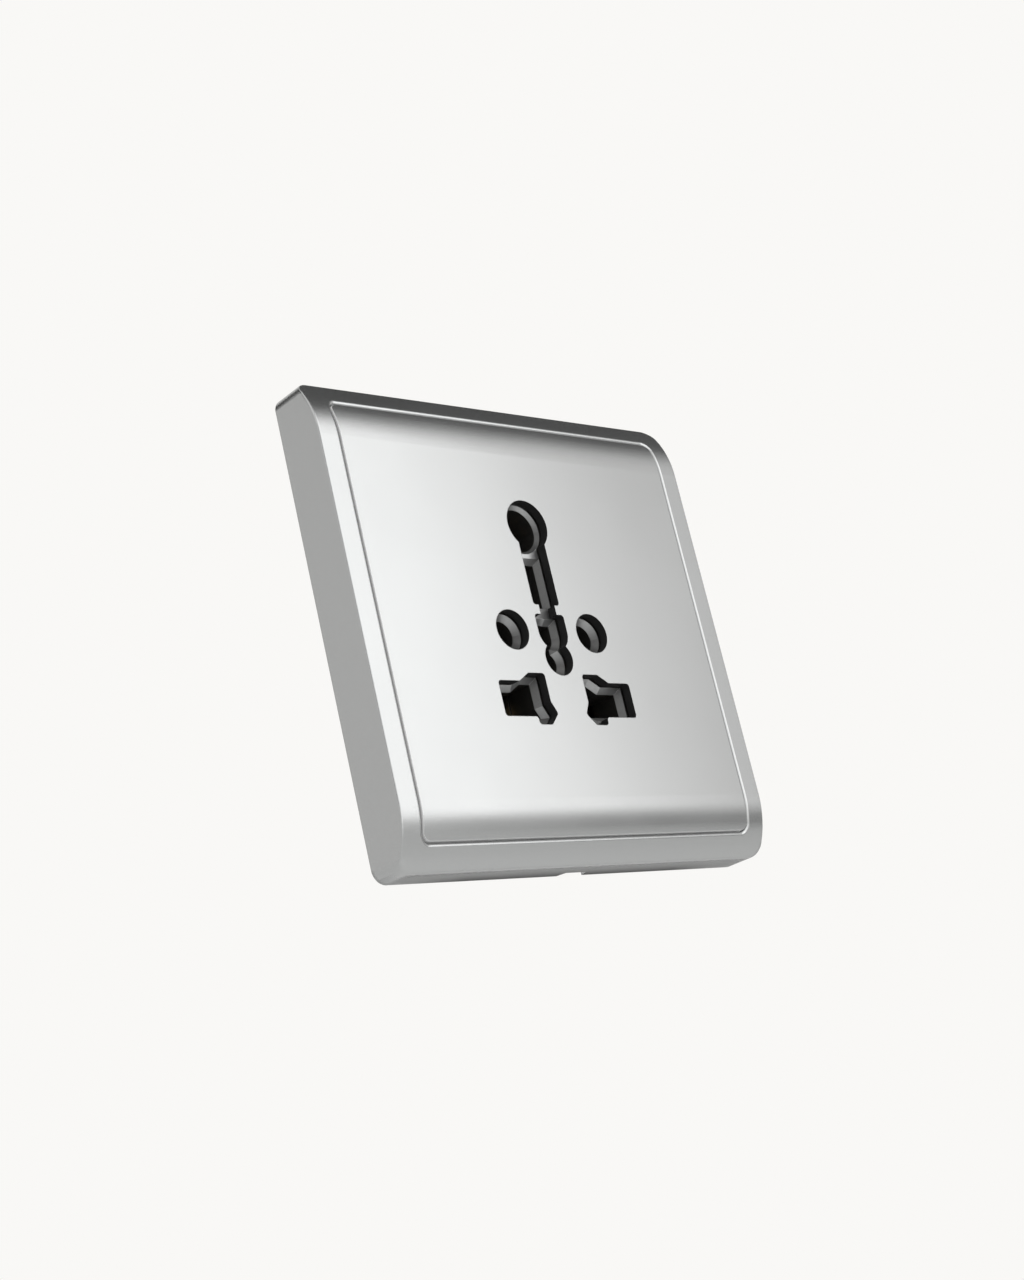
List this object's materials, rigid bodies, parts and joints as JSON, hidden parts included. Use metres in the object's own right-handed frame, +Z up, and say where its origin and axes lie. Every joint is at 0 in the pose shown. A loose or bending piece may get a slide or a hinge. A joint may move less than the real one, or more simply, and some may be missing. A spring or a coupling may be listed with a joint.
{
  "type": "universal wall socket",
  "caption": "Square clip-on wall socket with a rolled silver plate, bevelled pin apertures for several plug types, and a rear contact box with pillar terminals.",
  "frame": {"origin": "centre of the plate on the wall plane, midway between the two fixing slots", "axes": "+X to the right seen from the front, +Y into the wall, +Z up"},
  "size_m": [0.086, 0.0284, 0.086],
  "materials": {
    "silver": "satin silver paint on moulded plastic",
    "black": "semi-gloss black moulding",
    "white": "plain white moulding",
    "brass": "rolled strip and bar",
    "spring_steel": "blued spring steel",
    "plated_steel": "zinc plated"
  },
  "bodies": {
    "root": {"outer_frame": "silver", "centre_panel": "silver", "aperture_block": "black", "contact_box": "black", "mounting_plate": "white", "live_contact": "brass", "neutral_contact": "brass", "earth_contact": "brass", "live_terminal": "brass", "neutral_terminal": "brass", "earth_terminal": "brass", "contact_rivets": "brass", "live_pin_spring": "spring_steel", "live_blade_spring": "spring_steel", "neutral_pin_spring": "spring_steel", "neutral_blade_spring": "spring_steel", "earth_pin_spring": "spring_steel", "earth_blade_spring": "spring_steel", "earth_low_spring": "spring_steel", "terminal_screws": "plated_steel", "assembly_screws": "plated_steel"}
  },
  "joints": []
}
